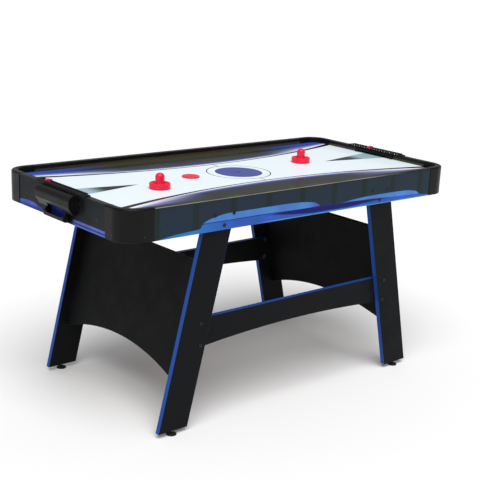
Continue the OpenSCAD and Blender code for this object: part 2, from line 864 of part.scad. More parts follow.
mirror([1, 0, 0]) goal_frame();  // left_goal_frame
goal_frame();  // right_goal_frame
mirror([1, 0, 0]) score_rail();  // left_score_rail
score_rail();  // right_score_rail
mirror([1, 0, 0]) score_slider(left_score_y);  // left_score_slider
score_slider(right_score_y);  // right_score_slider
mirror([1, 0, 0]) mirror([0, 1, 0]) levelling_foot();  // front_left_foot
mirror([0, 1, 0]) levelling_foot();  // front_right_foot
mirror([1, 0, 0]) levelling_foot();  // back_left_foot
levelling_foot();  // back_right_foot
foot_inserts();
blower_housing();
blower_motor();
blower_impeller();
power_inlet();
switch_housing();
rocker();
apron_bolts();
stretcher_bolts();
tee_nuts();
frame_screws();
striker(left_striker_at);  // left_striker
striker(right_striker_at);  // right_striker
striker_felt(left_striker_at);  // left_striker_felt
striker_felt(right_striker_at);  // right_striker_felt
puck();
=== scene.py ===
import math
import bmesh
import bpy
from mathutils import Matrix, Vector


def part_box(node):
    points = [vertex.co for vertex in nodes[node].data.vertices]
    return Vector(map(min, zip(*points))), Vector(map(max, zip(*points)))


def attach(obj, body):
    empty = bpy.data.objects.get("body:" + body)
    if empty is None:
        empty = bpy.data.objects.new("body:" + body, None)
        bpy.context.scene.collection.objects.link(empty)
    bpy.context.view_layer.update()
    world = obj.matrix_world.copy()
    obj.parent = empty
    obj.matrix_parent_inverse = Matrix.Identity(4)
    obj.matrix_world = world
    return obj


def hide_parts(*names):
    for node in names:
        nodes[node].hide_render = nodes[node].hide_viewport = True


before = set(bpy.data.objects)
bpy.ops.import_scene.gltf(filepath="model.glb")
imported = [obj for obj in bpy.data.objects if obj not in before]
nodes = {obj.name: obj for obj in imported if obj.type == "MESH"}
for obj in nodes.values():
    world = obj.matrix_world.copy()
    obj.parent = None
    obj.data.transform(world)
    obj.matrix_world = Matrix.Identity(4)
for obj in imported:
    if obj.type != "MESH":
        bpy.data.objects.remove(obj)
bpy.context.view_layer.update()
scene = bpy.context.scene
mm = 0.001
print("frame loaded:", len(nodes), "nodes")


# colours are written as sRGB hex and turned to the linear values that shaders use
def linear(hexColour):
    parts = [int(hexColour[i:i + 2], 16) / 255 for i in (1, 3, 5)]
    curved = [p / 12.92 if p <= 0.04045 else ((p + 0.055) / 1.055) ** 2.4 for p in parts]
    return (*curved, 1.0)


# adds a node with its settings and inputs; a node given as an input stands for its first output
def addNode(tree, kind, inputs=None, **settings):
    made = tree.nodes.new(kind)
    for name, value in settings.items():
        setattr(made, name, value)
    for socket, value in (inputs or {}).items():
        if isinstance(value, bpy.types.Node):
            value = value.outputs[0]
        if isinstance(value, bpy.types.NodeSocket):
            tree.links.new(value, made.inputs[socket])
        else:
            made.inputs[socket].default_value = value
    return made


def startMaterial(name, sockets):
    material = bpy.data.materials.new(name)
    material.use_nodes = True
    shader = material.node_tree.nodes["Principled BSDF"]
    for socket, value in sockets.items():
        shader.inputs[socket].default_value = value
    return material, material.node_tree, shader


# object coordinates in millimetres, so that every pattern is sized from a real length
def placeInMm(tree):
    source = addNode(tree, "ShaderNodeTexCoord")
    scaled = addNode(tree, "ShaderNodeVectorMath", {0: source.outputs["Object"], "Scale": 1000.0},
        operation="SCALE")
    return scaled


# 1 where a is greater than b, softened over a few millimetres
def greaterMask(tree, a, b, soft):
    gap = addNode(tree, "ShaderNodeMath", {0: a, 1: b}, operation="SUBTRACT")
    return addNode(tree, "ShaderNodeMapRange", {"Value": gap, "From Min": -soft, "From Max": soft},
        interpolation_type="SMOOTHSTEP")


# lays inks over a base one after another, each through the product of its masks
def paintLayers(tree, ink, base, layers):
    colour = linear(ink[base])
    for coat, masks in layers:
        if isinstance(coat, str):
            coat = linear(ink[coat])
        cover = masks[0]
        for mask in masks[1:]:
            cover = addNode(tree, "ShaderNodeMath", {0: cover, 1: mask}, operation="MULTIPLY")
        colour = addNode(tree, "ShaderNodeMix", {0: cover, 6: colour, 7: coat}, data_type="RGBA").outputs[2]
    return colour


# a printed edge line: its height in mm at each place along the board, through a few given points
def edgeCurve(tree, along, points, spanAlong, spanHeight):
    share = addNode(tree, "ShaderNodeMapRange", {"Value": along, "From Min": spanAlong[0],
        "From Max": spanAlong[1]})
    curve = addNode(tree, "ShaderNodeFloatCurve", {"Value": share})
    line = curve.mapping.curves[0]
    placed = [((x - spanAlong[0]) / (spanAlong[1] - spanAlong[0]),
        (h - spanHeight[0]) / (spanHeight[1] - spanHeight[0])) for x, h in points]
    line.points[0].location = placed[0]
    line.points[1].location = placed[-1]
    for spot in placed[1:-1]:
        line.points.new(*spot)
    for point in line.points:
        point.handle_type = "AUTO_CLAMPED"
    curve.mapping.update()
    return addNode(tree, "ShaderNodeMapRange", {"Value": curve, "To Min": spanHeight[0],
        "To Max": spanHeight[1]})


scuffs = {"scale": 0.12, "from": 0.42, "to": 0.62}


# fine grain in the bump, slow patches in the roughness and tone, and rubbed edges where a piece has them
def giveSurface(tree, shader, colour, look):
    place = placeInMm(tree)
    grain = addNode(tree, "ShaderNodeTexNoise", {"Vector": place, "Scale": 1 / look["grain"],
        "Detail": 3.0})
    patch = addNode(tree, "ShaderNodeTexNoise", {"Vector": place, "Scale": 1 / look["patch"],
        "Detail": 4.0})
    low, high = 0.3, 0.7  # most of the noise lies between these
    rough = addNode(tree, "ShaderNodeMapRange", {"Value": patch, "From Min": low, "From Max": high,
        "To Min": look["rough"][0], "To Max": look["rough"][1]})
    tone = addNode(tree, "ShaderNodeMapRange", {"Value": patch, "From Min": low, "From Max": high,
        "To Max": look["mottle"]})
    if isinstance(colour, str):
        colour = linear(colour)
    toned = addNode(tree, "ShaderNodeMix", {0: tone, 6: colour, 7: linear(look["tint"])},
        data_type="RGBA").outputs[2]
    if "wear" in look:
        rim = addNode(tree, "ShaderNodeAttribute", attribute_name="edge")
        scuff = addNode(tree, "ShaderNodeTexNoise", {"Vector": place, "Scale": scuffs["scale"],
            "Detail": 6.0})
        broken = addNode(tree, "ShaderNodeMapRange", {"Value": scuff, "From Min": scuffs["from"],
            "From Max": scuffs["to"], "To Max": look["wearAmount"]})
        cover = addNode(tree, "ShaderNodeMath", {0: rim.outputs["Fac"], 1: broken}, operation="MULTIPLY")
        toned = addNode(tree, "ShaderNodeMix", {0: cover, 6: toned, 7: linear(look["wear"])},
            data_type="RGBA").outputs[2]
    bump = addNode(tree, "ShaderNodeBump", {"Strength": 1.0, "Distance": look["depth"] * mm,
        "Height": grain})
    tree.links.new(toned, shader.inputs["Base Color"])
    tree.links.new(rough.outputs[0], shader.inputs["Roughness"])
    tree.links.new(bump.outputs[0], shader.inputs["Normal"])


# one row for each plain finish: what it is, and what that gives the eye
finishes = {
    # melamine-faced particle board, pressed with a fine leather texture: a deep black that hardly shines
    "melamineBoard": {"colour": "#0f1012", "tint": "#151618", "grain": 1.4, "depth": 0.05, "patch": 60,
        "rough": (0.48, 0.66), "mottle": 0.5, "wear": "#4a4844", "wearAmount": 0.5,
        "sockets": {"IOR": 1.45, "Specular IOR Level": 0.1}},
    # injection-moulded ABS with a spark-eroded skin: satin black with soft highlights on the rounds
    "mouldedAbs": {"colour": "#0b0b0c", "tint": "#131314", "grain": 0.7, "depth": 0.035, "patch": 35,
        "rough": (0.30, 0.44), "mottle": 0.45, "wear": "#3a3937", "wearAmount": 0.35,
        "sockets": {"IOR": 1.53, "Specular IOR Level": 0.13}},
    # bronze-coloured PVC wall round the field: a dull khaki with a soft sheen
    "bronzeWall": {"colour": "#4b4635", "tint": "#39351f", "grain": 1.8, "depth": 0.02, "patch": 70,
        "rough": (0.34, 0.48), "mottle": 0.5, "sockets": {"IOR": 1.5, "Specular IOR Level": 0.2}},
    # planed softwood under the field: pale, open grained and unvarnished
    "planedPine": {"colour": "#c39d69", "tint": "#a87f4c", "grain": 2.0, "depth": 0.12, "patch": 26,
        "rough": (0.62, 0.78), "mottle": 0.9, "sockets": {"IOR": 1.45, "Specular IOR Level": 0.3}},
    # hardboard, pressed smooth on one side: warm brown with a fine felted grain
    "pressedHardboard": {"colour": "#7d5630", "tint": "#6a4727", "grain": 0.9, "depth": 0.05, "patch": 34,
        "rough": (0.5, 0.68), "mottle": 0.8, "sockets": {"IOR": 1.5, "Specular IOR Level": 0.35}},
    # bright zinc plate on pressed steel: cool grey with cloudy patches
    "zincPlate": {"colour": "#a4a9ad", "tint": "#7f868c", "grain": 1.0, "depth": 0.015, "patch": 9,
        "rough": (0.28, 0.46), "mottle": 0.8, "sockets": {"Metallic": 1.0}},
    # black-oxidised steel of the bolts and screws: near black, with a small glint where the light lands
    "blackOxide": {"colour": "#0c0c0e", "tint": "#1b1b1e", "grain": 0.5, "depth": 0.01, "patch": 6,
        "rough": (0.12, 0.24), "mottle": 0.6, "sockets": {"IOR": 1.5, "Specular IOR Level": 0.3}},
    # glass-filled nylon feet: dull black with a faint dusty bloom
    "filledNylon": {"colour": "#141414", "tint": "#2a2a28", "grain": 0.8, "depth": 0.04, "patch": 12,
        "rough": (0.5, 0.7), "mottle": 0.6, "sockets": {"IOR": 1.53, "Specular IOR Level": 0.12}},
    # polished polystyrene strikers and puck: clean bright red with a wet-looking highlight
    "redPolystyrene": {"colour": "#f01f45", "tint": "#e41a3c", "grain": 3.0, "depth": 0.01, "patch": 18,
        "rough": (0.16, 0.28), "mottle": 0.7, "wear": "#ff8c94", "wearAmount": 0.4,
        "sockets": {"IOR": 1.59, "Specular IOR Level": 0.26}},
    # needled felt under the strikers: dark, matt and fuzzy
    "needledFelt": {"colour": "#26282c", "tint": "#34373c", "grain": 0.5, "depth": 0.25, "patch": 5,
        "rough": (0.9, 1.0), "mottle": 0.8, "sockets": {"Sheen Weight": 0.3, "Sheen Roughness": 0.5,
        "Specular IOR Level": 0.1}},
    # white pad-printing ink on the scorers
    "padPrintWhite": {"colour": "#e9e9e6", "tint": "#cfcfca", "grain": 0.6, "depth": 0.01, "patch": 6,
        "rough": (0.4, 0.55), "mottle": 0.5, "sockets": {"IOR": 1.5, "Specular IOR Level": 0.4}},
}


def plainFinish(name):
    look = finishes[name]
    material, tree, shader = startMaterial(name, look["sockets"])
    giveSurface(tree, shader, look["colour"], look)
    return material


# the place along a printed board and up it; opposite boards have the same print, turned half way round
def boardPlace(tree, along, across):
    split = addNode(tree, "ShaderNodeSeparateXYZ", {0: placeInMm(tree)})
    side = addNode(tree, "ShaderNodeMath", {0: split.outputs[across]}, operation="SIGN")
    turned = addNode(tree, "ShaderNodeMath", {0: split.outputs[along], 1: side}, operation="MULTIPLY")
    flipped = addNode(tree, "ShaderNodeMath", {0: turned, 1: -1.0}, operation="MULTIPLY")
    return flipped, split.outputs["Z"]


# what the long boards' printed wrap shows, in mm: x along the board, z above the floor
wrapPrint = {
    "slate": "#1f2e3b", "panelLine": "#1a2822", "light": "#4c86d2", "medium": "#335cbc", "cyan": "#2c7abe",
    "navy": "#12126a", "violet": "#5650b8", "glow": "#549ad4",
    "pitch": 154.7, "firstLine": -645, "lineWidth": 25, "alongBoard": (-660, 660), "heights": (680, 760),
    # where each tone starts or ends, then how softly
    "coolEnd": (-430.0, 120.0), "glowTop": (696.5, 2.5), "glowStart": (-200.0, 90.0),
    "leftViolet": (30.0, 35.0), "rightViolet": (215.0, 40.0), "outlineStart": (-462.0, 6.0),
    "outlineEnd": (-120.0, 60.0),
    "mediumTop": [(-660, 688), (-635, 694), (-600, 699), (-560, 703), (-473, 708), (-462, 721),
        (-430, 723), (-175, 722), (0, 721), (150, 719), (291, 717), (420, 713), (560, 710), (600, 705),
        (660, 696)],
    "leftTop": [(-660, 700), (-470, 719), (-462, 724), (-409, 740), (-337, 747), (-177, 747), (-64, 746),
        (14, 740), (54, 728), (68, 720), (660, 700)],
    "leftFoot": [(-660, 724), (-462, 723.5), (-175, 723), (0, 721), (80, 722), (660, 724)],
    "navyTop": [(-660, 700), (-190, 717), (-90, 721), (0, 721), (150, 719), (291, 717), (430, 712),
        (660, 700)],
    "navyFoot": [(-660, 720), (-190, 717), (-60, 706), (60, 700), (180, 700), (300, 705), (430, 712),
        (660, 720)],
    "rightTop": [(-660, 700), (165, 719), (235, 725), (357, 729), (499, 728), (570, 720), (592, 708),
        (600, 700), (660, 690)],
    "rightFoot": [(-660, 726), (165, 719.5), (300, 717), (430, 712), (592, 707), (660, 705)],
}


def printedWrap():
    # vinyl wrap printed and laminated onto MDF: flat slate with crisp blue sweeps under a satin film
    look = {"tint": "#222c3c", "grain": 1.6, "depth": 0.02, "patch": 80, "rough": (0.36, 0.5),
        "mottle": 0.3}
    material, tree, shader = startMaterial("printedWrap", {"IOR": 1.5, "Specular IOR Level": 0.11})
    ink = wrapPrint
    along, height = boardPlace(tree, "X", "Y")
    curves = ("mediumTop", "leftTop", "leftFoot", "navyTop", "navyFoot", "rightTop", "rightFoot")
    edges = {name: edgeCurve(tree, along, ink[name], ink["alongBoard"], ink["heights"]) for name in curves}
    shifted = addNode(tree, "ShaderNodeMath", {0: along, 1: ink["firstLine"] - ink["pitch"] * 4.5},
        operation="SUBTRACT")
    within = addNode(tree, "ShaderNodeMath", {0: shifted, 1: ink["pitch"]}, operation="MODULO")
    offCentre = addNode(tree, "ShaderNodeMath", {0: within, 1: ink["pitch"] / 2}, operation="SUBTRACT")
    away = addNode(tree, "ShaderNodeMath", {0: offCentre}, operation="ABSOLUTE")
    panelLine = greaterMask(tree, ink["lineWidth"] / 2, away, 4.0)
    cool = greaterMask(tree, ink["coolEnd"][0], along, ink["coolEnd"][1])
    mediumTone = addNode(tree, "ShaderNodeMix", {0: cool, 6: linear(ink["medium"]),
        7: linear(ink["cyan"])}, data_type="RGBA").outputs[2]
    inMedium = greaterMask(tree, edges["mediumTop"], height, 0.8)
    lift = addNode(tree, "ShaderNodeMath", {0: edges["leftFoot"], 1: 0.8}, operation="ADD")
    dip = addNode(tree, "ShaderNodeMath", {0: edges["leftFoot"], 1: 1.4}, operation="SUBTRACT")
    inLeft = [greaterMask(tree, edges["leftTop"], height, 0.8),
        greaterMask(tree, height, edges["leftFoot"], 0.8)]
    inRight = [greaterMask(tree, edges["rightTop"], height, 0.8),
        greaterMask(tree, height, edges["rightFoot"], 0.8)]
    layers = [
        ("panelLine", [panelLine]),
        (mediumTone, [inMedium]),
        ("glow", [inMedium, greaterMask(tree, ink["glowTop"][0], height, ink["glowTop"][1]),
            greaterMask(tree, along, *ink["glowStart"])]),
        ("navy", [greaterMask(tree, edges["navyTop"], height, 1.0),
            greaterMask(tree, height, edges["navyFoot"], 2.5)]),
        ("light", inLeft),
        ("violet", inLeft + [greaterMask(tree, along, *ink["leftViolet"])]),
        ("light", inRight),
        ("violet", inRight + [
            greaterMask(tree, ink["rightViolet"][0], along, ink["rightViolet"][1])]),
        ("navy", [greaterMask(tree, lift, height, 0.7), greaterMask(tree, height, dip, 0.7),
            greaterMask(tree, along, *ink["outlineStart"]),
            greaterMask(tree, ink["outlineEnd"][0], along, ink["outlineEnd"][1])]),
    ]
    colour = paintLayers(tree, ink, "slate", layers)
    giveSurface(tree, shader, colour, look)
    return material


# the end boards: a blue wedge one side of the goal box and two stripes on the other, y in mm
endPrint = {
    "ground": "#10171b", "wedge": "#26379a", "wedgeLight": "#4a62c4", "stripe": "#5a70c8",
    "dark": "#1e2890", "alongBoard": (-280, 280), "heights": (680, 760),
    "wedgeTop": [(-280, 680), (90, 690), (112, 704), (150, 713), (185, 717), (250, 714), (275, 706),
        (280, 700)],
    "stripes": (-268, -84), "behindTray": (58.0, 738.0), "lightFoot": (703.0, 3.0),
    "lightStart": (150.0, 20.0), "stripeTop": 713.0, "darkStripe": (699.5, 704.5),
}


def printedEnd():
    # the same printed wrap on the end boards: almost black, with blue along its lower edge
    look = {"tint": "#0c1114", "grain": 1.6, "depth": 0.02, "patch": 80, "rough": (0.36, 0.5),
        "mottle": 0.4}
    material, tree, shader = startMaterial("printedEnd", {"IOR": 1.5, "Specular IOR Level": 0.1})
    ink = endPrint
    along, height = boardPlace(tree, "Y", "X")
    wedgeTop = edgeCurve(tree, along, ink["wedgeTop"], ink["alongBoard"], ink["heights"])
    inWedge = greaterMask(tree, wedgeTop, height, 0.8)
    offMiddle = addNode(tree, "ShaderNodeMath", {0: along}, operation="ABSOLUTE")
    inStripes = [greaterMask(tree, along, ink["stripes"][0], 0.8), greaterMask(tree, ink["stripes"][1],
        along, 10.0)]
    layers = [
        ("wedge", [inWedge]),
        ("wedgeLight", [inWedge, greaterMask(tree, height, *ink["lightFoot"]),
            greaterMask(tree, along, *ink["lightStart"])]),
        ("wedge", [greaterMask(tree, ink["behindTray"][0], offMiddle, 1.0),
            greaterMask(tree, ink["behindTray"][1], height, 1.0)]),
        ("stripe", inStripes + [greaterMask(tree, ink["stripeTop"], height, 0.8)]),
        ("dark", inStripes + [greaterMask(tree, ink["darkStripe"][1], height, 0.8),
            greaterMask(tree, height, ink["darkStripe"][0], 0.8)]),
    ]
    colour = paintLayers(tree, ink, "ground", layers)
    giveSurface(tree, shader, colour, look)
    return material


# the field's print, and a painted reflection of the wall beside it, in mm from its middle
fieldPrint = {
    "ice": "#eaf5fb", "black": "#07090b", "white": "#f6f9fc", "lilac": "#8e9ad6", "blue": "#3a50ae",
    "navy": "#121a40", "lens": "#0d1815", "bronze": "#3c392c", "disc": "#3a4698", "dot": "#161950",
    "teal": "#9dbcc4", "halfLength": 760, "wall": 357, "lineMiddle": 160, "lineEnd": 285,
    "lineWidth": (8, 28), "discR": 89, "ringR": 120, "ringWidth": 4.0, "tieWidth": 4.0, "dotR": (12, 7),
    "wedge": (449, 740, 58), "wedgeFade": (585.0, 665.0), "endFade": (0.42, 0.9),
}


def fieldSurface():
    # UV-cured print under a clear hard coat on thin board: icy white, slick enough to mirror the strikers
    look = {"tint": "#dbe8f2", "grain": 4.0, "depth": 0.008, "patch": 120, "rough": (0.14, 0.24),
        "mottle": 0.008}
    material, tree, shader = startMaterial("fieldSurface", {"IOR": 1.5, "Specular IOR Level": 0.04})
    ink = fieldPrint
    split = addNode(tree, "ShaderNodeSeparateXYZ", {0: placeInMm(tree)})
    side = addNode(tree, "ShaderNodeMath", {0: split.outputs["Y"]}, operation="ABSOLUTE")
    along = addNode(tree, "ShaderNodeMath", {0: split.outputs["X"]}, operation="ABSOLUTE")
    share = addNode(tree, "ShaderNodeMath", {0: along, 1: ink["halfLength"]}, operation="DIVIDE")
    square = addNode(tree, "ShaderNodeMath", {0: share, 1: share}, operation="MULTIPLY")
    # the long curved line bows towards the middle of the table
    lineAt = addNode(tree, "ShaderNodeMapRange", {"Value": square, "To Min": ink["lineMiddle"],
        "To Max": ink["lineEnd"]})
    halfLine = addNode(tree, "ShaderNodeMapRange", {"Value": square, "To Min": ink["lineWidth"][0] / 2,
        "To Max": ink["lineWidth"][1] / 2})
    outwards = addNode(tree, "ShaderNodeMath", {0: side, 1: lineAt}, operation="SUBTRACT")
    fromLine = addNode(tree, "ShaderNodeMath", {0: outwards}, operation="ABSOLUTE")
    room = addNode(tree, "ShaderNodeMath", {0: ink["wall"], 1: lineAt}, operation="SUBTRACT")
    step = addNode(tree, "ShaderNodeMath", {0: outwards, 1: room}, operation="DIVIDE")
    middle = addNode(tree, "ShaderNodeValToRGB", {0: step})
    ends = addNode(tree, "ShaderNodeValToRGB", {0: step})
    # the middle ramp ends in bronze by the wall: a painted reflection of the wall in the field, not print
    ramps = {
        middle: [(0.0, "white"), (0.05, "white"), (0.08, "lilac"), (0.13, "blue"), (0.19, "navy"),
            (0.27, "lens"), (0.62, "lens"), (0.70, "bronze"), (1.0, "bronze")],
        ends: [(0.0, "white"), (0.20, "white"), (0.30, "lilac"), (0.52, "blue"), (0.86, "blue"),
            (1.0, "navy")],
    }
    for ramp, stops in ramps.items():
        band = ramp.color_ramp
        band.elements[0].position = stops[0][0]
        band.elements[0].color = linear(ink[stops[0][1]])
        band.elements[1].position = stops[-1][0]
        band.elements[1].color = linear(ink[stops[-1][1]])
        for spot, name in stops[1:-1]:
            band.elements.new(spot).color = linear(ink[name])
    towardsEnd = addNode(tree, "ShaderNodeMapRange", {"Value": share, "From Min": ink["endFade"][0],
        "From Max": ink["endFade"][1]}, interpolation_type="SMOOTHSTEP")
    bands = addNode(tree, "ShaderNodeMix", {0: towardsEnd, 6: middle, 7: ends},
        data_type="RGBA").outputs[2]
    # centre disc, its ring and the short lines from the ring to the curved lines
    flat = addNode(tree, "ShaderNodeCombineXYZ", {0: split.outputs["X"], 1: split.outputs["Y"], 2: 0.0})
    fromCentre = addNode(tree, "ShaderNodeVectorMath", {0: flat}, operation="LENGTH").outputs["Value"]
    fromRing = addNode(tree, "ShaderNodeMath", {0: fromCentre, 1: ink["ringR"]}, operation="SUBTRACT")
    offRing = addNode(tree, "ShaderNodeMath", {0: fromRing}, operation="ABSOLUTE")
    dotScale = (1 / ink["dotR"][0], 1 / ink["dotR"][1], 0.0)
    squeezed = addNode(tree, "ShaderNodeVectorMath", {0: flat, 1: dotScale}, operation="MULTIPLY")
    fromDot = addNode(tree, "ShaderNodeVectorMath", {0: squeezed}, operation="LENGTH").outputs["Value"]
    # the wedge that points at the middle from each goal
    tip, mouth, halfMouth = ink["wedge"]
    spread = addNode(tree, "ShaderNodeMapRange", {"Value": along, "From Min": tip, "From Max": mouth,
        "To Max": halfMouth})
    wedgeTone = addNode(tree, "ShaderNodeMapRange", {"Value": along, "From Min": ink["wedgeFade"][0],
        "From Max": ink["wedgeFade"][1]}, interpolation_type="SMOOTHSTEP")
    wedgeColour = addNode(tree, "ShaderNodeMix", {0: wedgeTone, 6: linear(ink["black"]),
        7: linear(ink["teal"])}, data_type="RGBA").outputs[2]
    layers = [
        (wedgeColour, [greaterMask(tree, spread, side, 0.8), greaterMask(tree, along, tip, 1.0)]),
        (bands, [greaterMask(tree, outwards, 0.0, 0.6)]),
        ("black", [greaterMask(tree, halfLine, fromLine, 0.6)]),
        ("black", [greaterMask(tree, ink["tieWidth"] / 2, along, 0.5), greaterMask(tree, fromCentre,
            ink["ringR"] - 1.0, 0.6), greaterMask(tree, lineAt, side, 0.6)]),
        ("black", [greaterMask(tree, ink["ringWidth"] / 2, offRing, 0.5)]),
        ("disc", [greaterMask(tree, ink["discR"], fromCentre, 0.6)]),
        ("dot", [greaterMask(tree, 1.0, fromDot, 0.08)]),
    ]
    colour = paintLayers(tree, ink, "ice", layers)
    giveSurface(tree, shader, colour, look)
    return material


# the rails' outer top edge carries a painted highlight: a pale line along the long sides, fading towards the
# right, where light catches the rounded edge
railHighlight = {"pale": "#8f8b78", "outside": 380.0, "heights": (796.8, 800.2), "fadeFrom": 430, "fade": 120,
    "base": "#0f0f10"}


def extrudedRail():
    # extruded PVC rail: smooth satin black, faintly mottled
    look = {"tint": "#1a1a1b", "grain": 2.2, "depth": 0.02, "patch": 90, "rough": (0.26, 0.38),
        "mottle": 0.4}
    material, tree, shader = startMaterial("extrudedRail", {"IOR": 1.52, "Specular IOR Level": 0.14})
    split = addNode(tree, "ShaderNodeSeparateXYZ", {0: placeInMm(tree)})
    side = addNode(tree, "ShaderNodeMath", {0: split.outputs["Y"]}, operation="ABSOLUTE")
    low, high = railHighlight["heights"]
    # mask for the painted highlight, a pale line on the outer top edge of the long rails
    line = [greaterMask(tree, side, railHighlight["outside"], 0.5), greaterMask(tree, split.outputs["Z"], low,
        0.4), greaterMask(tree, high, split.outputs["Z"], 0.3), greaterMask(tree, railHighlight["fadeFrom"],
        split.outputs["X"], railHighlight["fade"])]
    colour = paintLayers(tree, railHighlight, "base", [("pale", line)])
    giveSurface(tree, shader, colour, look)
    return material


banding = {"face": "#1c4a9c", "trimmed": "#101012"}


def edgeBanding():
    # PVC edge banding, ironed on: even royal blue with a slight polish, its trimmed edges dark as the boards
    look = {"tint": "#1c4890", "grain": 1.1, "depth": 0.02, "patch": 40, "rough": (0.34, 0.46),
        "mottle": 0.6}
    material, tree, shader = startMaterial("edgeBanding", {"IOR": 1.5, "Specular IOR Level": 0.12})
    shape = addNode(tree, "ShaderNodeNewGeometry")
    facing = addNode(tree, "ShaderNodeSeparateXYZ", {0: shape.outputs["True Normal"]})
    sideways = addNode(tree, "ShaderNodeMath", {0: facing.outputs["Y"]}, operation="ABSOLUTE")
    trimmed = greaterMask(tree, sideways, 0.7, 0.05)
    colour = paintLayers(tree, banding, "face", [("trimmed", [trimmed])])
    giveSurface(tree, shader, colour, look)
    return material


materials = {name: plainFinish(name) for name in finishes}
materials["extrudedPvc"] = extrudedRail()
materials["edgeBanding"] = edgeBanding()
materials["printedWrap"] = printedWrap()
materials["printedEnd"] = printedEnd()
materials["fieldSurface"] = fieldSurface()
print("materials made:", len(materials))


def placePiece(name, mesh, material, body, replaced=(), sharpDegrees=35):
    mesh.name = name
    mesh.materials.clear()
    mesh.materials.append(materials[material])
    mesh.shade_smooth()
    mesh.set_sharp_from_angle(angle=math.radians(sharpDegrees))
    piece = bpy.data.objects.new(name, mesh)
    scene.collection.objects.link(piece)
    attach(piece, body)
    if replaced:
        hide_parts(*replaced)
    return piece


def meshFrom(bm):
    mesh = bpy.data.meshes.new("shape")
    bm.to_mesh(mesh)
    bm.free()
    return mesh


# rounds every edge that turns by more than a given angle, and marks the rounds for the edge wear
def roundEdges(bm, radius, segments, overDegrees=30):
    marks = bm.faces.layers.float.new("edge")
    limit = math.radians(overDegrees)
    sharp = [e for e in bm.edges if len(e.link_faces) == 2 and e.calc_face_angle(0) > limit]
    made = bmesh.ops.bevel(bm, geom=sharp, offset=radius, segments=segments, profile=0.5, affect="EDGES",
        clamp_overlap=True)
    for face in made["faces"]:
        face[marks] = 1.0


# a copy of a board or moulding, with its edges rounded as a router or a mould leaves them
def softened(node, radius, material, segments=2, body="table"):
    bm = bmesh.new()
    bm.from_mesh(nodes[node].data)
    bmesh.ops.remove_doubles(bm, verts=bm.verts, dist=2e-6)
    bmesh.ops.dissolve_limit(bm, angle_limit=math.radians(0.1), verts=bm.verts, edges=bm.edges)
    roundEdges(bm, radius * mm, segments)
    piece = placePiece(node + "_rounded", meshFrom(bm), material, body, (node,))
    piece.modifiers.new("Weighted Normal", "WEIGHTED_NORMAL").keep_sharp = True


# a turned solid about +Z: each ring is (radius, height) in mm, and may be shaped by a function of its angle
def turnedSolid(rings, steps):
    bm = bmesh.new()
    rows = []
    for ring in rings:
        radius, height = ring[0], ring[1]
        shape = ring[2] if len(ring) > 2 else (lambda angle: 1.0)
        if radius == 0:
            rows.append([bm.verts.new((0, 0, height))])
            continue
        row = []
        for i in range(steps):
            angle = 2 * math.pi * i / steps
            reach = radius * shape(angle)
            row.append(bm.verts.new((reach * math.cos(angle), reach * math.sin(angle), height)))
        rows.append(row)
    for low, high in zip(rows, rows[1:]):
        for i in range(steps):
            j = (i + 1) % steps
            corners = [low[i % len(low)], low[j % len(low)], high[j % len(high)], high[i % len(high)]]
            corners = list(dict.fromkeys(corners))
            if len(corners) > 2:
                bm.faces.new(corners)
    bmesh.ops.recalc_face_normals(bm, faces=bm.faces)
    return bm


# the middle of a round node's foot, then its radius and height in mm
def roundSize(node):
    low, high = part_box(node)
    centre = (low + high) / 2
    return (centre.x, centre.y, low.z), (high.x - low.x) / 2 / mm, (high.z - low.z) / mm


def turnedPiece(name, rings, steps, place, material, body, node, sharpDegrees=50):
    bm = turnedSolid([(r * mm, z * mm, *shape) for r, z, *shape in rings], steps)
    bmesh.ops.translate(bm, verts=bm.verts, vec=place)
    placePiece(name, meshFrom(bm), material, body, (node,), sharpDegrees)


def arcRings(centreR, centreZ, radius, fromDegrees, toDegrees, steps):
    angles = [math.radians(fromDegrees + (toDegrees - fromDegrees) * i / steps) for i in range(steps + 1)]
    return [(centreR + radius * math.cos(a), centreZ + radius * math.sin(a)) for a in angles]


def hexagonal(angle):
    return math.cos(math.radians(30)) / math.cos(angle % math.radians(60) - math.radians(30))


def crossed(angle):
    return 0.4 + 0.6 * abs(math.cos(2 * angle)) ** 3


def startTree(name, inputs):
    tree = bpy.data.node_groups.new(name, "GeometryNodeTree")
    tree.interface.new_socket(name="Geometry", in_out="INPUT", socket_type="NodeSocketGeometry")
    for label, kind in inputs:
        tree.interface.new_socket(name=label, in_out="INPUT", socket_type=kind)
    tree.interface.new_socket(name="Geometry", in_out="OUTPUT", socket_type="NodeSocketGeometry")
    return tree, addNode(tree, "NodeGroupInput").outputs


def endTree(tree, geometry, material):
    whole = addNode(tree, "GeometryNodeRealizeInstances", {"Geometry": geometry})
    dressed = addNode(tree, "GeometryNodeSetMaterial", {"Geometry": whole, "Material": material})
    addNode(tree, "NodeGroupOutput", {"Geometry": dressed})


# runs a tree once on a starting mesh and keeps the plain mesh that comes out
def runTree(tree, mesh, values):
    carrier = bpy.data.objects.new("carrier", mesh)
    scene.collection.objects.link(carrier)
    modifier = carrier.modifiers.new("Pieces", "NODES")
    modifier.node_group = tree
    sockets = {item.name: item.identifier for item in tree.interface.items_tree if item.in_out == "INPUT"}
    for label, value in values.items():
        modifier[sockets[label]] = value
    bpy.context.view_layer.update()
    made = bpy.data.meshes.new_from_object(carrier.evaluated_get(bpy.context.evaluated_depsgraph_get()))
    carrier.modifiers.remove(modifier)
    bpy.data.objects.remove(carrier)
    return made


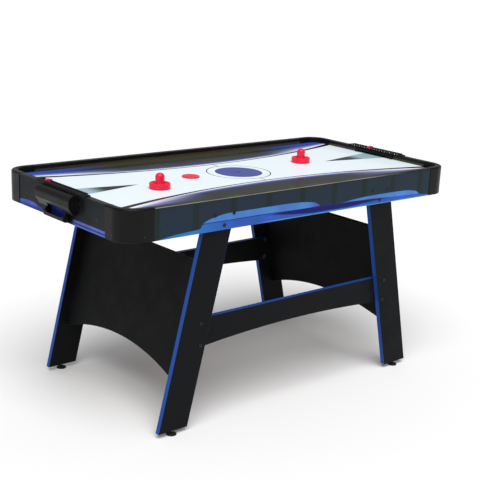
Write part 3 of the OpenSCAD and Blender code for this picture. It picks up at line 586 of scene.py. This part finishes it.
# screws and bolts: a head at each point, turned to its "facing" and spun by chance, on a plain shank
def fastenerTree():
    tree, given = startTree("fasteners", [("Head", "NodeSocketObject"),
        ("Head Radius", "NodeSocketFloat"), ("Shank Radius", "NodeSocketFloat"),
        ("Shank Length", "NodeSocketFloat"), ("Spin Seed", "NodeSocketInt"),
        ("Finish", "NodeSocketMaterial")])
    facing = addNode(tree, "GeometryNodeInputNamedAttribute", {"Name": "facing"}, data_type="FLOAT_VECTOR")
    aimed = addNode(tree, "FunctionNodeAlignRotationToVector", {"Vector": facing}, axis="Z")
    chance = addNode(tree, "FunctionNodeRandomValue", {3: 2 * math.pi, "Seed": given["Spin Seed"]},
        data_type="FLOAT")
    spin = addNode(tree, "FunctionNodeAxisAngleToRotation", {"Axis": (0, 0, 1), "Angle": chance.outputs[1]})
    turned = addNode(tree, "FunctionNodeRotateRotation", {0: aimed, 1: spin}, rotation_space="LOCAL")
    head = addNode(tree, "GeometryNodeObjectInfo", {"Object": given["Head"]})
    heads = addNode(tree, "GeometryNodeInstanceOnPoints", {"Points": given["Geometry"],
        "Instance": head.outputs["Geometry"], "Rotation": turned, "Scale": given["Head Radius"]})
    rod = addNode(tree, "GeometryNodeMeshCylinder", {"Vertices": 16, "Radius": given["Shank Radius"],
        "Depth": given["Shank Length"]})
    half = addNode(tree, "ShaderNodeMath", {0: given["Shank Length"], 1: -0.5}, operation="MULTIPLY")
    drop = addNode(tree, "ShaderNodeCombineXYZ", {"Z": half})
    lowered = addNode(tree, "GeometryNodeTransform", {"Geometry": rod.outputs["Mesh"],
        "Translation": drop})
    rods = addNode(tree, "GeometryNodeInstanceOnPoints", {"Points": given["Geometry"],
        "Instance": lowered, "Rotation": turned})
    both = addNode(tree, "GeometryNodeJoinGeometry")
    tree.links.new(heads.outputs[0], both.inputs[0])
    tree.links.new(rods.outputs[0], both.inputs[0])
    endTree(tree, both, given["Finish"])
    return tree


# the field's top: one tile round each air hole, repeated and welded into a sheet
def airHoleTree():
    tree, given = startTree("airHoles", [("Tile", "NodeSocketObject"), ("Columns", "NodeSocketInt"),
        ("Rows", "NodeSocketInt"), ("Pitch Along", "NodeSocketFloat"),
        ("Pitch Across", "NodeSocketFloat"), ("Finish", "NodeSocketMaterial")])
    sizes = []
    for count, pitch in (("Columns", "Pitch Along"), ("Rows", "Pitch Across")):
        spans = addNode(tree, "ShaderNodeMath", {0: given[count], 1: 1.0}, operation="SUBTRACT")
        sizes.append(addNode(tree, "ShaderNodeMath", {0: spans, 1: given[pitch]}, operation="MULTIPLY"))
    grid = addNode(tree, "GeometryNodeMeshGrid", {"Size X": sizes[0], "Size Y": sizes[1],
        "Vertices X": given["Columns"], "Vertices Y": given["Rows"]})
    tile = addNode(tree, "GeometryNodeObjectInfo", {"Object": given["Tile"]})
    scale = addNode(tree, "ShaderNodeCombineXYZ", {"X": given["Pitch Along"], "Y": given["Pitch Across"],
        "Z": 1.0})
    tiles = addNode(tree, "GeometryNodeInstanceOnPoints", {"Points": grid.outputs["Mesh"],
        "Instance": tile.outputs["Geometry"], "Scale": scale})
    whole = addNode(tree, "GeometryNodeRealizeInstances", {"Geometry": tiles})
    welded = addNode(tree, "GeometryNodeMergeByDistance", {"Geometry": whole, "Distance": 0.02 * mm})
    endTree(tree, welded, given["Finish"])
    return tree


# a row of printed ticks along Y
def tickTree():
    tree, given = startTree("scoreTicks", [("Count", "NodeSocketInt"), ("Spacing", "NodeSocketFloat"),
        ("Tick Size", "NodeSocketVector"), ("Start", "NodeSocketVector"),
        ("Finish", "NodeSocketMaterial")])
    pace = addNode(tree, "ShaderNodeCombineXYZ", {"Y": given["Spacing"]})
    row = addNode(tree, "GeometryNodeMeshLine",
        {"Count": given["Count"], "Start Location": given["Start"], "Offset": pace}, mode="OFFSET")
    tick = addNode(tree, "GeometryNodeMeshCube", {"Size": given["Tick Size"]})
    ticks = addNode(tree, "GeometryNodeInstanceOnPoints", {"Points": row.outputs["Mesh"],
        "Instance": tick.outputs["Mesh"]})
    endTree(tree, ticks, given["Finish"])
    return tree


trees = {"fasteners": fastenerTree(), "airHoles": airHoleTree(), "ticks": tickTree()}
print("node trees made")


for side in ("front", "back"):
    softened(side + "_apron", 0.8, "printedWrap")
    softened(side + "_top_rail", 0.9, "extrudedPvc")
    softened(side + "_bumper", 0.5, "bronzeWall")
    softened(side + "_stretcher", 1.0, "melamineBoard")
for side in ("left", "right"):
    softened(side + "_end_apron", 0.8, "printedEnd")
    softened(side + "_top_rail", 0.9, "extrudedPvc")
    softened(side + "_bumper", 0.5, "bronzeWall")
    softened(side + "_end_panel", 1.0, "melamineBoard")
for corner in ("front_left", "front_right", "back_left", "back_right"):
    softened(corner + "_leg", 0.9, "melamineBoard")
softened("corner_blocks", 1.0, "planedPine")
softened("plenum_battens", 0.8, "planedPine")
softened("plenum_floor", 0.5, "pressedHardboard")
softened("panel_brackets", 0.3, "blackOxide")
print("boards rounded")

cap = {"radius": 75, "wall": 5, "topWidth": 24, "proud": 1.0, "outerRound": 7, "innerRound": 4,
    "arcSteps": 28, "endRound": 0.8}


# a moulded corner: one section swept along its two arms and the round between them
def cornerCap(corner, signX, signY):
    node = corner + "_corner_cap"
    low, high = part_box(node)
    arm = (high.x - low.x) / mm
    bottom, top = low.z / mm, high.z / mm + cap["proud"]
    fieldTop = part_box("playing_field")[1].z / mm + 0.1
    outerX, outerY = cadOuter["x"], cadOuter["y"]
    section = [(1.2, bottom), (0, bottom + 1.2)]
    section += [(cap["outerRound"] * (1 - math.cos(a)), top - cap["outerRound"] * (1 - math.sin(a)))
        for a in (math.radians(90 * i / 8) for i in range(9))]
    section += [(cap["topWidth"] - cap["innerRound"] * (1 - math.sin(a)),
        top - cap["innerRound"] * (1 - math.cos(a))) for a in (math.radians(90 * i / 6) for i in range(7))]
    section += [(cap["topWidth"], fieldTop), (cap["wall"], fieldTop), (cap["wall"], bottom + 0.8),
        (cap["wall"] - 0.8, bottom)]
    stations = [((outerX, outerY - arm), (1, 0))]
    for i in range(cap["arcSteps"] + 1):
        a = math.radians(90 * i / cap["arcSteps"])
        out = (math.cos(a), math.sin(a))
        stations.append(((outerX - cap["radius"] * (1 - out[0]), outerY - cap["radius"] * (1 - out[1])),
            out))
    stations.append(((outerX - arm, outerY), (0, 1)))
    bm = bmesh.new()
    rows = [[bm.verts.new((signX * (at[0] - inset * out[0]) * mm, signY * (at[1] - inset * out[1]) * mm,
        z * mm)) for inset, z in section] for at, out in stations]
    count = len(section)
    for row, following in zip(rows, rows[1:]):
        for i in range(count):
            bm.faces.new((row[i], row[(i + 1) % count], following[(i + 1) % count], following[i]))
    bm.faces.new(rows[0])
    bm.faces.new(rows[-1])
    bmesh.ops.recalc_face_normals(bm, faces=bm.faces)
    roundEdges(bm, cap["endRound"] * mm, 2, 60)
    piece = placePiece(node + "_moulded", meshFrom(bm), "mouldedAbs", "table", (node,), 40)
    piece.modifiers.new("Weighted Normal", "WEIGHTED_NORMAL").keep_sharp = True


cadOuter = {"x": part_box("front_right_corner_cap")[1].x / mm, "y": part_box("back_right_corner_cap")[1].y / mm}
for depth, signY in (("front", -1), ("back", 1)):
    for side, signX in (("left", -1), ("right", 1)):
        cornerCap(depth + "_" + side, signX, signY)
print("corner caps moulded")

field = {"pitch": 25.0, "holeR": 0.9, "wellDepth": 1.6, "cornerR": 61, "cornerSteps": 12}


# one square of the field's top with its air hole, in a unit square that the tree stretches to the pitch
def airHoleTile(pitchAlong, pitchAcross):
    bm = bmesh.new()
    corners = [bm.verts.new((x, y, 0)) for x, y in ((0.5, 0), (0.5, 0.5), (0, 0.5), (-0.5, 0.5),
        (-0.5, 0), (-0.5, -0.5), (0, -0.5), (0.5, -0.5))]
    rings = []
    for depth in (0, -field["wellDepth"] * mm):
        rings.append([bm.verts.new((field["holeR"] * math.cos(math.radians(45 * i)) / pitchAlong,
            field["holeR"] * math.sin(math.radians(45 * i)) / pitchAcross, depth)) for i in range(8)])
    for i in range(8):
        j = (i + 1) % 8
        bm.faces.new((corners[i], corners[j], rings[0][j], rings[0][i]))
        bm.faces.new((rings[0][i], rings[0][j], rings[1][j], rings[1][i]))
    bm.faces.new(rings[1])
    tile = bpy.data.objects.new("airHoleTile", meshFrom(bm))
    scene.collection.objects.link(tile)
    return tile


def playingField():
    low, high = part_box("playing_field")
    long, wide = (high.x - low.x) / mm, (high.y - low.y) / mm
    columns, rows = round(long / field["pitch"]), round(wide / field["pitch"])
    alongPitch, acrossPitch = long / columns, wide / rows
    tile = airHoleTile(alongPitch, acrossPitch)
    sheet = runTree(trees["airHoles"], bpy.data.meshes.new("start"), {"Tile": tile, "Columns": columns,
        "Rows": rows, "Pitch Along": alongPitch * mm, "Pitch Across": acrossPitch * mm,
        "Finish": materials["fieldSurface"]})
    bpy.data.objects.remove(tile)
    bm = bmesh.new()
    bm.from_mesh(sheet)
    bmesh.ops.translate(bm, verts=bm.verts, vec=(0, 0, high.z))
    # the four corners are cut round with a row of straight cuts
    for signX in (-1, 1):
        for signY in (-1, 1):
            for i in range(field["cornerSteps"]):
                a = math.radians(90 * (i + 0.5) / field["cornerSteps"])
                out = Vector((signX * math.cos(a), signY * math.sin(a), 0))
                middle = Vector((signX * (high.x - field["cornerR"] * mm),
                    signY * (high.y - field["cornerR"] * mm), 0))
                bmesh.ops.bisect_plane(bm, geom=bm.verts[:] + bm.edges[:] + bm.faces[:],
                    plane_co=middle + out * field["cornerR"] * mm, plane_no=out, clear_outer=True)
    rim = [e for e in bm.edges if len(e.link_faces) == 1]
    skirt = bmesh.ops.extrude_edge_only(bm, edges=rim)["geom"]
    for vert in (g for g in skirt if isinstance(g, bmesh.types.BMVert)):
        vert.co.z = low.z
    base = [g for g in skirt if isinstance(g, bmesh.types.BMEdge)]
    bmesh.ops.contextual_create(bm, geom=base)
    bmesh.ops.recalc_face_normals(bm, faces=bm.faces)
    placePiece("playing_field_drilled", meshFrom(bm), "fieldSurface", "table",
        ("playing_field",), 30)


playingField()
print("playing field drilled")


def dressNode(node, material):
    for place in nodes[node].material_slots:
        place.material = materials[material]


dressNode("edge_banding", "edgeBanding")
dressNode("tee_nuts", "zincPlate")
dressNode("foot_inserts", "zincPlate")

heads = {
    # a low domed head with a hexagon socket, one unit in radius
    "domed": [(0, -0.02), (1.0, -0.02), (1.0, 0.08), (0.97, 0.17), (0.88, 0.27), (0.72, 0.35),
        (0.50, 0.39), (0.42, 0.39, hexagonal), (0.38, 0.36, hexagonal), (0.38, 0.08, hexagonal),
        (0, 0.05)],
    # a flat countersunk head with a cross recess
    "crossed": [(0, -0.30), (0.5, -0.30), (1.0, -0.04), (1.0, 0.02), (0.93, 0.07), (0.72, 0.10),
        (0.62, 0.10, crossed), (0.55, 0.07, crossed), (0.30, -0.16, crossed), (0, -0.2)],
}


def headObject(kind):
    head = bpy.data.objects.new(kind + "Head", meshFrom(turnedSolid(heads[kind], 24)))
    head.data.shade_smooth()
    head.data.set_sharp_from_angle(angle=math.radians(35))
    scene.collection.objects.link(head)
    return head


def fasteners(name, places, kind, sizes, seed, replaced):
    head = headObject(kind)
    mesh = bpy.data.meshes.new(name)
    mesh.from_pydata([place for place, facing in places], [], [])
    directions = mesh.attributes.new("facing", "FLOAT_VECTOR", "POINT")
    for i, (place, facing) in enumerate(places):
        directions.data[i].vector = facing
    made = runTree(trees["fasteners"], mesh, {"Head": head, "Head Radius": sizes[0] * mm,
        "Shank Radius": sizes[1] * mm, "Shank Length": sizes[2] * mm, "Spin Seed": seed,
        "Finish": materials["blackOxide"]})
    bpy.data.objects.remove(head)
    placePiece(name, made, "blackOxide", "table", (replaced,))


# where the fasteners sit on the right-hand back quarter, in mm; the rest are mirrored
fastening = {
    "apronBolts": [(411, 745), (333, 745), (372, 708)],
    "stretcherBolts": [(447, 378), (447, 300)],
    "capScrew": (690, 310, 712),
    "apronScrew": (600, 222, 740),
    "tabScrew": (2.5, 122, 772),
    "blowerScrewR": 68, "blowerFlange": 3,
    # head radius, shank radius and shank length
    "boltSize": (6.5, 3.0, 29),
    "longBoltSize": (6.5, 3.0, 35),
    "screwSize": (3.6, 1.8, 24),
}
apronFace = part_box("back_apron")[1].y / mm
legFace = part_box("back_left_leg")[1].y / mm
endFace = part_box("right_end_apron")[1].x / mm


def mirrored(places):
    return [((x * sx * mm, y * sy * mm, z * mm), (fx * sx, fy * sy, fz))
        for (x, y, z), (fx, fy, fz) in places for sx in (-1, 1) for sy in (-1, 1)]


boltsOnApron = mirrored([((x, apronFace, z), (0, 1, 0)) for x, z in fastening["apronBolts"]])
boltsOnLegs = mirrored([((x, legFace, z), (0, 1, 0)) for x, z in fastening["stretcherBolts"]])
capX, capY, capZ = fastening["capScrew"]
boardX, boardY, boardZ = fastening["apronScrew"]
screws = mirrored([((capX, cadOuter["y"], capZ), (0, 1, 0)), ((cadOuter["x"], capY, capZ), (1, 0, 0)),
    ((boardX, apronFace, boardZ), (0, 1, 0)), ((endFace, boardY, boardZ), (1, 0, 0))])
tabOut, tabY, tabZ = fastening["tabScrew"]
screws += mirrored([((endFace + tabOut, tabY, tabZ), (1, 0, 0))])
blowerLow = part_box("blower_housing")[1].z - fastening["blowerFlange"] * mm
blowerR = fastening["blowerScrewR"] * mm
for i in range(4):
    a = math.radians(45 + 90 * i)
    screws.append(((blowerR * math.cos(a), blowerR * math.sin(a), blowerLow), (0, 0, -1)))
fasteners("apron_bolts_domed", boltsOnApron, "domed", fastening["boltSize"], 3, "apron_bolts")
fasteners("stretcher_bolts_domed", boltsOnLegs, "domed", fastening["longBoltSize"], 5, "stretcher_bolts")
fasteners("frame_screws_crossed", screws, "crossed", fastening["screwSize"], 7, "frame_screws")
print("fasteners placed")

foot = {"stem": 4, "threadPitch": 1.25, "threadDepth": 0.35, "stemTop": 40}


def levellingFoot(corner):
    node = corner + "_foot"
    low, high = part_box(node)
    centre = (low + high) / 2
    rings = [(0, 0), (16.4, 0), (17.4, 0.5), (18, 1.6), (17.8, 3.2), (16.6, 4.6), (12, 5.6), (8.6, 6.0),
        (8.2, 6.2, hexagonal), (8.2, 7.7, hexagonal), (7.4, 8.1, hexagonal),
        (foot["stem"] - foot["threadDepth"], 8.1)]
    height = 8.5
    while height < foot["stemTop"] - 1:
        rings += [(foot["stem"], height),
            (foot["stem"] - foot["threadDepth"], height + foot["threadPitch"] / 2)]
        height += foot["threadPitch"]
    rings += [(foot["stem"] - 0.6, foot["stemTop"]), (0, foot["stemTop"])]
    turnedPiece(node + "_turned", rings, 48, (centre.x, centre.y, 0), "filledNylon", node,
        node, 30)


for corner in ("front_left", "front_right", "back_left", "back_right"):
    levellingFoot(corner)
print("feet turned")


for side in ("left", "right"):
    softened(side + "_goal_hood", 0.9, "mouldedAbs", 3)
    softened(side + "_puck_tray", 1.0, "mouldedAbs")
    softened(side + "_goal_frame", 1.0, "mouldedAbs")
    softened(side + "_score_rail", 0.8, "filledNylon")
    softened(side + "_score_slider", 0.6, "redPolystyrene", body=side + "_score_slider")

score = {"numbers": 10, "spacing": 28.4, "numeral": 6.4, "tick": (2.4, 4.6), "ink": 0.2}


# the numbers 0 to 9 on each scorer's face towards the field, with a tick between each pair
def scoreMarks(side, sign):
    low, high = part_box(side + "_score_rail")
    inner = low.x if sign > 0 else high.x
    start = -(score["numbers"] - 1) / 2 * score["spacing"] * mm
    wide, tall = score["tick"]
    ticks = runTree(trees["ticks"], bpy.data.meshes.new("start"), {"Count": score["numbers"] - 1,
        "Spacing": score["spacing"] * mm, "Tick Size": (score["ink"] * mm, wide * mm, tall * mm),
        "Start": (inner, start + score["spacing"] / 2 * mm, (low.z + high.z) / 2),
        "Finish": materials["padPrintWhite"]})
    bm = bmesh.new()
    bm.from_mesh(ticks)
    for i in range(score["numbers"]):
        curve = bpy.data.curves.new("numeral", "FONT")
        curve.body = str(i)
        curve.size = score["numeral"] * mm
        curve.extrude = score["ink"] / 2 * mm
        curve.align_x = "CENTER"
        curve.align_y = "CENTER"
        letter = bpy.data.objects.new("numeral", curve)
        scene.collection.objects.link(letter)
        bpy.context.view_layer.update()
        mesh = bpy.data.meshes.new_from_object(letter.evaluated_get(bpy.context.evaluated_depsgraph_get()))
        # columns: the numeral's own right, its own up, and out of the face
        turn = Matrix(((0, -sign, 0), (0, 0, 1), (-sign, 0, 0))).transposed().to_4x4()
        place = Matrix.Translation((inner, start + i * score["spacing"] * mm, (low.z + high.z) / 2))
        mesh.transform(place @ turn)
        bm.from_mesh(mesh)
        bpy.data.objects.remove(letter)
    placePiece(side + "_score_marks", meshFrom(bm), "padPrintWhite", "table", (), 30)


scoreMarks("left", -1)
scoreMarks("right", 1)
print("goal boxes and scorers done")


softened("blower_housing", 0.6, "mouldedAbs")
softened("blower_motor", 0.5, "zincPlate")
softened("blower_impeller", 0.3, "filledNylon", body="blower_impeller")
softened("power_inlet", 0.4, "mouldedAbs")
softened("switch_housing", 0.4, "mouldedAbs")
softened("rocker", 0.3, "mouldedAbs", body="power_rocker")
print("blower and mains parts done")


striker = {"rimTop": 18.5, "grip": 16, "dome": 13}


def strikerAndFelt(side):
    node = side + "_striker"
    place, base, top = roundSize(node)
    rim, grip, dome = striker["rimTop"], striker["grip"], striker["dome"]
    rings = [(0, 0), (base - 1.3, 0)] + arcRings(base - 1.2, 1.2, 1.2, -90, 0, 3)
    rings += [(base - 0.3, 4.0), (base - 0.4, rim - 5)] + arcRings(base - 2.7, rim - 2.4, 2.4, 0, 90, 7)
    rings += arcRings(base - 4.3, rim - 1.8, 1.8, 90, 155, 5)
    rings += [(base - 7.5, rim - 4.2), (26.5, 10.6), (22.5, 9.3), (19.6, 9.6), (17.9, 11.2), (17.0, 14.5),
        (grip, 22.0), (grip - 0.3, 29.0), (grip, 36.0), (grip, top - dome - 0.5)]
    rings += arcRings(grip - dome, top - dome, dome, 0, 90, 10)
    rings.append((0, top))
    turnedPiece(node + "_moulded", rings, 96, place, "redPolystyrene", node, node)
    feltNode = node + "_felt"
    padPlace, radius, thick = roundSize(feltNode)
    pad = [(0, 0), (radius - 0.5, 0), (radius, 0.4), (radius, thick - 0.3), (radius - 0.3, thick),
        (0, thick)]
    turnedPiece(feltNode + "_pad", pad, 64, padPlace, "needledFelt", node, feltNode)


strikerAndFelt("left")
strikerAndFelt("right")


def puckPiece():
    place, radius, thick = roundSize("puck")
    rings = [(0, 0.3), (radius - 6, 0.3), (radius - 5, 0), (radius - 1.1, 0)]
    rings += arcRings(radius - 1.0, 1.0, 1.0, -90, 0, 4)
    rings += arcRings(radius - 1.0, thick - 1.0, 1.0, 0, 90, 4)
    rings += [(radius - 4.0, thick), (radius - 4.8, thick - 0.6), (radius - 14, thick - 0.6),
        (radius - 14.4, thick - 0.3), (radius - 15.6, thick - 0.3), (radius - 16, thick - 0.6),
        (0, thick - 0.6)]
    turnedPiece("puck_moulded", rings, 96, place, "redPolystyrene", "puck", "puck")


puckPiece()
print("strikers and puck done")


studio = {"floor": "#f6f6f6", "world": "#ffffff", "worldStrength": 0.42, "sunStrength": 2.6,
    "sunAngle": 50, "sunFrom": (-0.5, -0.75, 1.6), "lens": 77.32, "sensor": 36, "azimuth": -41.77,
    "elevation": 17.4, "roll": 2.81, "distance": 3.497, "target": (-0.232, -0.406, 0.5),
    "shift": (-0.0402, 0.0856)}


def studioFloor():
    bm = bmesh.new()
    bmesh.ops.create_grid(bm, x_segments=1, y_segments=1, size=60)
    floor = bpy.data.objects.new("studioFloor", meshFrom(bm))
    scene.collection.objects.link(floor)
    paper = {"Base Color": linear(studio["floor"]), "Roughness": 0.9, "Specular IOR Level": 0.1}
    material = startMaterial("studioPaper", paper)[0]
    floor.data.materials.append(material)


def studioLight():
    world = bpy.data.worlds.new("studio")
    scene.world = world
    world.use_nodes = True
    background = world.node_tree.nodes["Background"]
    background.inputs["Color"].default_value = linear(studio["world"])
    background.inputs["Strength"].default_value = studio["worldStrength"]
    sun = bpy.data.lights.new("softSun", "SUN")
    sun.energy = studio["sunStrength"]
    sun.angle = math.radians(studio["sunAngle"])
    lamp = bpy.data.objects.new("softSun", sun)
    lamp.rotation_euler = Vector(studio["sunFrom"]).to_track_quat("Z", "Y").to_euler()
    scene.collection.objects.link(lamp)


def studioCamera():
    data = bpy.data.cameras.new("view")
    data.lens = studio["lens"]
    data.sensor_width = studio["sensor"]
    data.shift_x, data.shift_y = studio["shift"]
    data.clip_end = 200
    camera = bpy.data.objects.new("view", data)
    scene.collection.objects.link(camera)
    azimuth, elevation, roll = (math.radians(studio[k]) for k in ("azimuth", "elevation", "roll"))
    back = Vector((math.sin(azimuth) * math.cos(elevation), -math.cos(azimuth) * math.cos(elevation),
        math.sin(elevation)))
    right = (-back).cross(Vector((0, 0, 1))).normalized()
    up = right.cross(-back)
    rolledRight = math.cos(roll) * right + math.sin(roll) * up
    rolledUp = -math.sin(roll) * right + math.cos(roll) * up
    place = Vector(studio["target"]) + back * studio["distance"]
    turn = Matrix((rolledRight, rolledUp, back)).transposed().to_4x4()
    camera.matrix_world = Matrix.Translation(place) @ turn
    scene.camera = camera


studioFloor()
studioLight()
studioCamera()
scene.view_settings.view_transform = "Standard"
print("studio ready")
